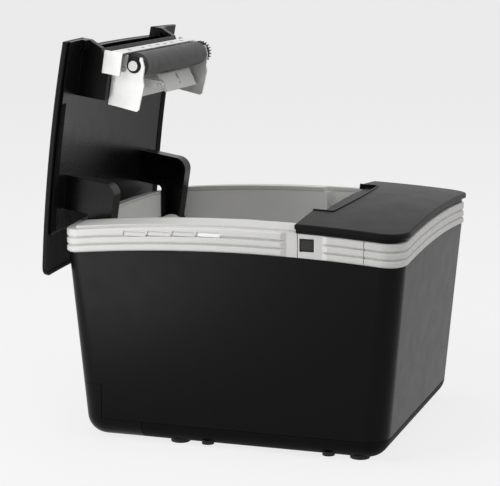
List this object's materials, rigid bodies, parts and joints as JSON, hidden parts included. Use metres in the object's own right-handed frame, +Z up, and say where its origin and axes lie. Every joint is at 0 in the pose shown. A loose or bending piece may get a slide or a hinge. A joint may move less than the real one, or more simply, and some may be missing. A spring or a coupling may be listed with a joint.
{
  "type": "receipt printer",
  "caption": "Desktop thermal receipt printer with a light ribbed band round a dark casing, its lid standing open over the paper bucket and the roller under the lid.",
  "frame": {"origin": "middle of the box round the printer with its lid open, on the table under its feet", "axes": "+Z up, +X to the right seen from the front, +Y to the rear"},
  "size_m": [0.145, 0.1818, 0.1925],
  "materials": {
    "black_abs": "fine textured satin",
    "lid_black": "smooth satin",
    "light_abs": "fine textured satin",
    "bucket_abs": "satin",
    "button_black": "satin",
    "light_window": "translucent, glossy",
    "zinc_steel": "zinc plated",
    "blade_steel": "ground",
    "ground_steel": "ground",
    "screw_steel": "zinc plated",
    "spring_steel": "drawn wire",
    "roller_rubber": "ground satin",
    "foot_rubber": "matt",
    "flap_plastic": "satin",
    "gear_plastic": "satin",
    "pinion_brass": "machined",
    "motor_can": "plated can",
    "circuit_board": "lacquered",
    "heat_sink": "extruded",
    "head_ceramic": "glazed",
    "socket_black": "satin"
  },
  "bodies": {
    "base": {"outer_casing": "black_abs", "base_tray": "black_abs", "rubber_feet": "foot_rubber", "case_screws": "screw_steel", "top_trim": "light_abs", "button_panel": "light_abs", "plain_panel": "light_abs", "front_trim": "light_abs", "front_cover": "black_abs", "status_lights": "light_window", "light_board": "circuit_board", "button_switch": "circuit_board", "paper_bucket": "bucket_abs", "hinge_pins": "ground_steel", "chassis": "zinc_steel", "print_head": "head_ceramic", "head_heat_sink": "heat_sink", "head_rod": "ground_steel", "head_springs": "spring_steel", "cutter_bed": "zinc_steel", "cutter_motor": "motor_can", "stepper_motor": "motor_can", "motor_screws": "screw_steel", "idler_stud": "ground_steel", "main_board": "circuit_board", "board_screws": "screw_steel", "power_socket": "socket_black", "data_socket": "socket_black", "drawer_socket": "socket_black"},
    "lid": {"lid_cover": "black_abs", "lid_frame": "lid_black", "platen_bracket": "zinc_steel", "bracket_screws": "screw_steel", "counter_blade": "blade_steel", "platen_bushes": "gear_plastic", "flap_pin": "ground_steel"},
    "platen": {"platen_shaft": "ground_steel", "platen_rubber": "roller_rubber", "platen_gear": "gear_plastic"},
    "flap": {"paper_flap": "flap_plastic"},
    "idler": {"idler_gear": "gear_plastic"},
    "pinion": {"motor_pinion": "pinion_brass"},
    "button": {"feed_button": "button_black"},
    "knife": {"cutter_blade": "blade_steel"},
    "knife_pinion": {"cutter_pinion": "pinion_brass"},
    "rear_cover": {"cable_cover": "black_abs"}
  },
  "joints": [
    {"name": "lid_hinge", "type": "hinge", "parent": "base", "child": "lid", "pos_m": [0, 0.06496, 0.0858], "axis": [1, 0, 0], "range_deg": [0, 81.2]},
    {"name": "platen_spin", "type": "hinge", "parent": "lid", "child": "platen", "pos_m": [0, 0.04965, 0.17946], "axis": [1, 0, 0], "continuous": true},
    {"name": "flap_pivot", "type": "hinge", "parent": "lid", "child": "flap", "pos_m": [0.02, 0.05332, 0.16626], "axis": [1, 0, 0], "range_deg": [0, 12], "stiffness_Nm_per_rad": 0.05},
    {"name": "idler_spin", "type": "hinge", "parent": "base", "child": "idler", "pos_m": [0.0477, -0.03282, 0.06865], "axis": [1, 0, 0], "continuous": true},
    {"name": "pinion_spin", "type": "hinge", "parent": "base", "child": "pinion", "pos_m": [0.0477, -0.04546, 0.06135], "axis": [1, 0, 0], "continuous": true},
    {"name": "button_press", "type": "slide", "parent": "base", "child": "button", "axis": [1, 0, 0], "range_m": [0, 0.0012], "stiffness_N_per_m": 1000},
    {"name": "knife_slide", "type": "slide", "parent": "base", "child": "knife", "axis": [0, 1, 0], "range_m": [0, 0.008]},
    {"name": "knife_pinion_spin", "type": "hinge", "parent": "base", "child": "knife_pinion", "pos_m": [0, -0.05774, 0.0942], "axis": [0, 0, 1], "range_deg": [-131, 0]},
    {"name": "rear_cover_slide", "type": "slide", "parent": "base", "child": "rear_cover", "axis": [0, 1, 0], "range_m": [0, 0.03]}
  ],
  "couplings": [
    {"joint": "idler_spin", "follows": "platen_spin", "ratio": -0.5},
    {"joint": "pinion_spin", "follows": "platen_spin", "ratio": 1.5714},
    {"joint": "knife_pinion_spin", "follows": "knife_slide", "rad_per_m": -285.71}
  ]
}
